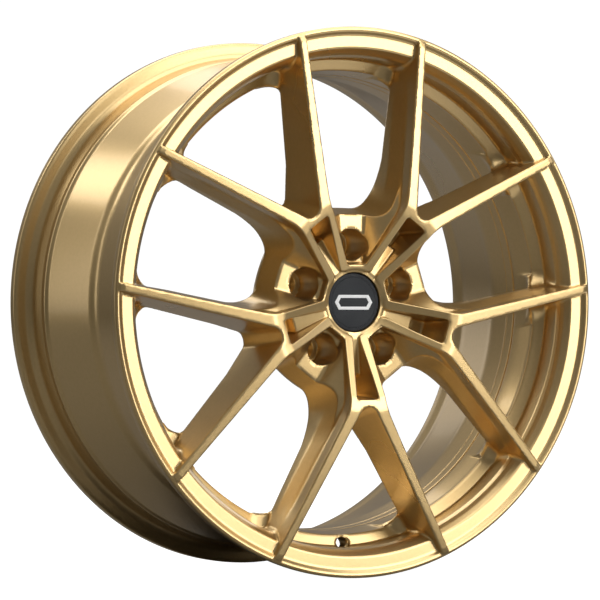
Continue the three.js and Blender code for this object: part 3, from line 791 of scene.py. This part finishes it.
# ---- Hub-centring ring ---------------------------------------------------------------------
# A push-in ring of dark grey glass-filled nylon that narrows the bore to the car's spigot,
# chamfered at its front end, with a shallow relief groove round its outside.
NYLON_RING = [
    (33.3, 65.1), (33.6, 64.8), (35.4, 64.8), (36.25, 65.7), (36.25, 68.6), (35.75, 69.0),
    (35.75, 71.6), (36.25, 72.0), (36.25, 75.5), (35.95, 75.8), (34.3, 75.8), (33.3, 74.7),
]
nylon = lathe("nylon_ring", NYLON_RING, CAP_SEGMENTS)
grey = finish_of(
    "nylon_grey", (0.10, 0.11, 0.12), (0.15, 0.16, 0.17), metallic=0.0,
    roughness=(0.45, 0.6), grain=2600, bump=0.3,
)
nylon.materials.append(grey)
placed("nylon_ring", nylon, "hub_ring", "ring_plastic", 35, "hub_centring_ring")

# ---- Floor, light and camera ---------------------------------------------------------------
# A pale studio floor that the wheel stands on, large soft lights in front of it, above it and
# behind it, and dim surroundings, which the metal shows as its darker tones. Places here are
# in metres from the wheel's middle.
FLOOR_TOP = -0.272
FLOOR_HALF_WIDTH = 4
FLOOR_FRONT, FLOOR_BACK = -4, 8
floor_mesh = bpy.data.meshes.new("studio_floor")
floor_corners = [
    (-FLOOR_HALF_WIDTH, FLOOR_FRONT, FLOOR_TOP), (FLOOR_HALF_WIDTH, FLOOR_FRONT, FLOOR_TOP),
    (FLOOR_HALF_WIDTH, FLOOR_BACK, FLOOR_TOP), (-FLOOR_HALF_WIDTH, FLOOR_BACK, FLOOR_TOP),
]
floor_mesh.from_pydata(floor_corners, [], [(0, 1, 2, 3)])
pale = finish_of(
    "floor_paint", (0.17, 0.17, 0.17), (0.19, 0.19, 0.19), metallic=0.0,
    roughness=(0.85, 0.95), grain=3, bump=0.0,
)
shader = pale.node_tree.nodes["Principled BSDF"]
shader.inputs["Emission Color"].default_value = (1, 1, 1, 1)
seen_floor = pale.node_tree.nodes.new("ShaderNodeLightPath").outputs["Is Camera Ray"]
pale.node_tree.links.new(seen_floor, shader.inputs["Emission Strength"])
floor_mesh.materials.append(pale)
floor_piece = bpy.data.objects.new("studio_floor", floor_mesh)
bpy.context.scene.collection.objects.link(floor_piece)


def softbox(name, place, aim, width, height, glow):
    """An area light whose face has the given brightness."""
    data = bpy.data.lights.new(name, "AREA")
    data.shape = "RECTANGLE"
    data.size, data.size_y = width, height
    data.energy = glow * math.pi * width * height
    lamp = bpy.data.objects.new(name, data)
    lamp.location = place
    lamp.rotation_mode = "QUATERNION"
    lamp.rotation_quaternion = (Vector(aim) - Vector(place)).to_track_quat("-Z", "Y")
    bpy.context.scene.collection.objects.link(lamp)
    return lamp


softbox("front_right_box", (1.72, -2.72, 1.1), (0, 0, 0), 1.5, 3.4, 2.3)
softbox("front_hot_box", (1.62, -2.76, 0.65), (0, 0, 0), 1.0, 1.75, 2.6)
softbox("front_top_box", (0.25, -2.35, 1.95), (0, 0, 0), 1.5, 1.5, 1.6)
softbox("right_side_box", (2.5, -1.3, 1.15), (0, 0, 0), 1.1, 1.3, 1.1)
softbox("top_box", (0.6, -0.1, 2.6), (0.6, -0.1, 0), 3.0, 3.2, 2.4)
softbox("left_box", (-2.32, 1.72, 0.66), (0, 0, 0), 0.5, 1.7, 1.2)
softbox("back_top_box", (-0.25, 1.75, 2.43), (0, 0, 0), 2.0, 0.7, 2.8)
softbox("back_hot_box", (-1.5, 1.9, 1.75), (0, 0, 0), 0.8, 0.8, 3.0)
softbox("back_right_box", (0.81, 2.22, 1.85), (0, 0, 0), 0.9, 0.6, 1.5)
softbox("back_low_box", (0.0, 2.9, 0.5), (0, 0, 0), 0.9, 0.9, 0.6)
softbox("right_back_box", (2.35, 1.45, 1.12), (0, 0, 0), 1.1, 1.1, 1.6)
CARD_HEIGHT = FLOOR_TOP + 0.01
for name, x, y, size, glow in (
    ("front_card", 0.5, -0.66, 0.6, 0.55),
    ("right_card", 0.85, 0.15, 0.7, 0.8),
):
    card = softbox(name, (x, y, CARD_HEIGHT), (x, y, 1), size, size, glow)
    card.visible_camera = False

# The surroundings fade from dark near the floor to dim above, and are white to the camera.
DARK_LOW, DIM_HIGH, WHITE_SEEN = 0.03, 0.27, 1.05
world = bpy.data.worlds.new("studio")
bpy.context.scene.world = world
world.use_nodes = True
tree = world.node_tree
glow = tree.nodes["Background"]
glow.inputs["Color"].default_value = (1, 1, 1, 1)
rays = tree.nodes.new("ShaderNodeLightPath")
place = tree.nodes.new("ShaderNodeTexCoord")
split_axes = tree.nodes.new("ShaderNodeSeparateXYZ")
height = tree.nodes.new("ShaderNodeMapRange")
height.inputs["From Min"].default_value = -0.35
height.inputs["From Max"].default_value = 0.6
height.inputs["To Min"].default_value = DARK_LOW
height.inputs["To Max"].default_value = DIM_HIGH
seen = tree.nodes.new("ShaderNodeMix")
seen.inputs["B"].default_value = WHITE_SEEN
tree.links.new(place.outputs["Generated"], split_axes.inputs["Vector"])
tree.links.new(split_axes.outputs["Z"], height.inputs["Value"])
tree.links.new(height.outputs["Result"], seen.inputs["A"])
tree.links.new(rays.outputs["Is Camera Ray"], seen.inputs["Factor"])
tree.links.new(seen.outputs["Result"], glow.inputs["Strength"])

bpy.context.scene.view_settings.view_transform = "Standard"
camera_data = bpy.data.cameras.new("camera")
camera_data.sensor_width = 36
camera_data.lens = 194.35
camera = bpy.data.objects.new("camera", camera_data)
camera.location = (-1.6405, -2.8447, -0.0089)
camera.rotation_euler = (math.radians(90.2), 0, math.radians(-29.868))
bpy.context.scene.collection.objects.link(camera)
bpy.context.scene.camera = camera
